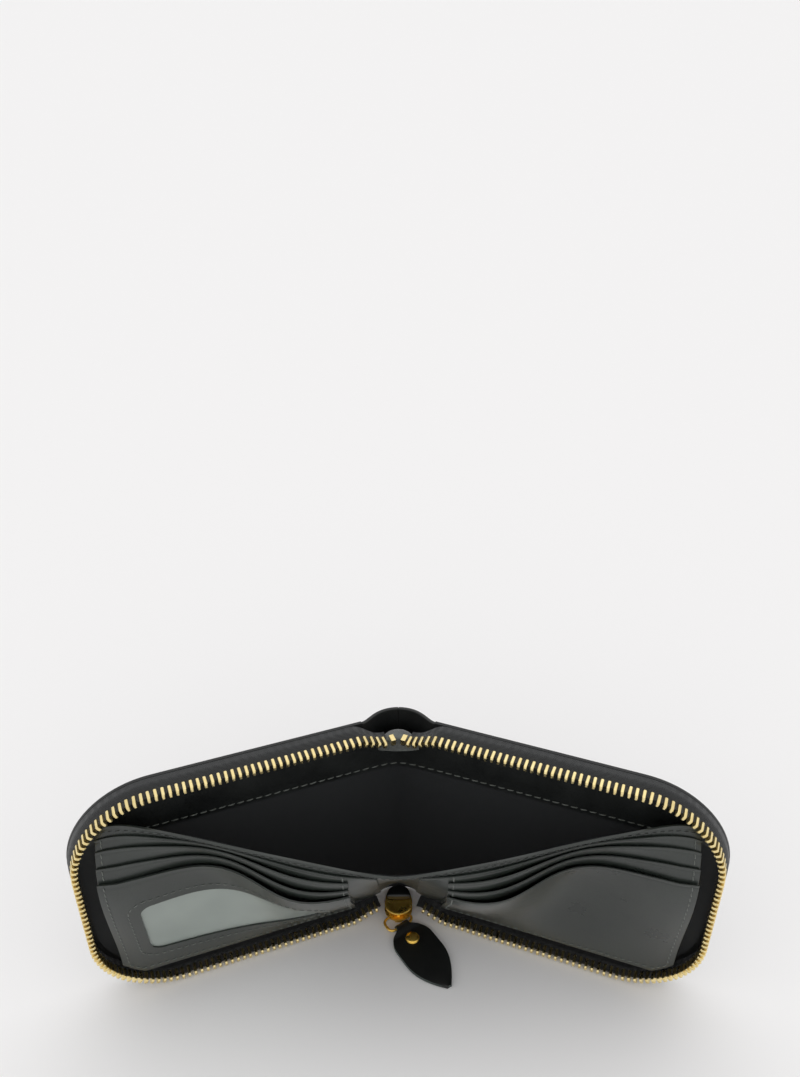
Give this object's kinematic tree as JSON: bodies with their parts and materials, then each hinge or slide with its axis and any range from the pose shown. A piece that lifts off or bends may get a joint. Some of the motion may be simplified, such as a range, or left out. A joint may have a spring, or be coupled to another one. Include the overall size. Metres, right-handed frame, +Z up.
{
  "type": "zip around wallet",
  "caption": "Bifold wallet with a zip round three sides, card slots, an identity card window and a note compartment.",
  "frame": {"origin": "bottom centre of the bounding box, on the surface the open wallet stands on", "axes": "+X to the wallet's right, +Y to its back at the spine, +Z up"},
  "size_m": [0.2224, 0.0544, 0.097],
  "materials": {
    "cover_leather": "fine grain, satin",
    "stiffener_board": "matte board",
    "lining_cloth": "smooth woven cloth",
    "zip_tape": "herringbone weave",
    "zip_metal": "polished",
    "spring_steel": "plain",
    "panel_leather": "smooth, satin",
    "window_film": "frosted clear film",
    "suede": "napped",
    "tab_leather": "smooth, painted edge"
  },
  "bodies": {
    "spine": {"spine_leather": "cover_leather", "spine_lining": "lining_cloth", "zip_end_tab_top": "suede", "zip_end_tab_bottom": "suede", "bottom_stop": "zip_metal"},
    "left_half": {"cover_left": "cover_leather", "cover_board_left": "stiffener_board", "lining_left": "lining_cloth", "facing_left": "cover_leather", "zip_tape_left": "zip_tape", "zip_teeth_left": "zip_metal", "top_stop_left": "zip_metal", "divider_left": "panel_leather", "divider_lining_left": "lining_cloth", "card_backing_left": "panel_leather", "slot_upper_left": "panel_leather", "slot_middle_left": "panel_leather", "front_pocket_left": "panel_leather", "id_window": "window_film"},
    "right_half": {"cover_right": "cover_leather", "cover_board_right": "stiffener_board", "lining_right": "lining_cloth", "facing_right": "cover_leather", "zip_tape_right": "zip_tape", "zip_teeth_right": "zip_metal", "top_stop_right": "zip_metal", "divider_right": "panel_leather", "divider_lining_right": "lining_cloth", "card_backing_right": "panel_leather", "slot_upper_right": "panel_leather", "slot_middle_right": "panel_leather", "front_pocket_right": "panel_leather"},
    "slider": {"slider_body": "zip_metal", "slider_bridge": "zip_metal", "slider_lock_spring": "spring_steel"},
    "ring": {"pull_ring": "zip_metal"},
    "pull": {"pull_tab": "tab_leather", "rivet_cap": "zip_metal", "rivet_base": "zip_metal"}
  },
  "joints": [
    {"name": "left_fold", "type": "hinge", "parent": "spine", "child": "left_half", "pos_m": [0, 0.01418, 0], "axis": [0, 0, 1], "range_deg": [0, 69.8], "deforming": ["spine_leather", "spine_lining", "divider_left", "divider_lining_left", "card_backing_left", "slot_upper_left", "slot_middle_left", "front_pocket_left", "id_window"]},
    {"name": "right_fold", "type": "hinge", "parent": "spine", "child": "right_half", "pos_m": [0, 0.01418, 0], "axis": [0, 0, -1], "range_deg": [0, 69.8], "deforming": ["divider_right", "divider_lining_right", "card_backing_right", "slot_upper_right", "slot_middle_right", "front_pocket_right"]},
    {"name": "slider_travel", "type": "slide", "parent": "spine", "child": "slider", "axis": [0, -0.9988, -0.0493], "range_m": [0, 0.0725], "deforming": ["zip_teeth_left", "zip_teeth_right", "zip_tape_left", "zip_tape_right"]},
    {"name": "ring_swing", "type": "hinge", "parent": "slider", "child": "ring", "pos_m": [0, 0.01258, 0.00145], "axis": [0.829, 0.5592, 0], "range_deg": [0, 81]},
    {"name": "tab_swing", "type": "hinge", "parent": "ring", "child": "pull", "pos_m": [0.00153, 0.00638, 0.00145], "axis": [-0.829, -0.5592, 0], "range_deg": [-60, 20]}
  ],
  "couplings": [
    {"joint": "right_fold", "follows": "left_fold", "ratio": 1},
    {"joint": "slider_travel", "follows": "left_fold", "m_per_rad": 0.059102},
    {"joint": "ring_swing", "follows": "left_fold", "ratio": 1.1461}
  ]
}
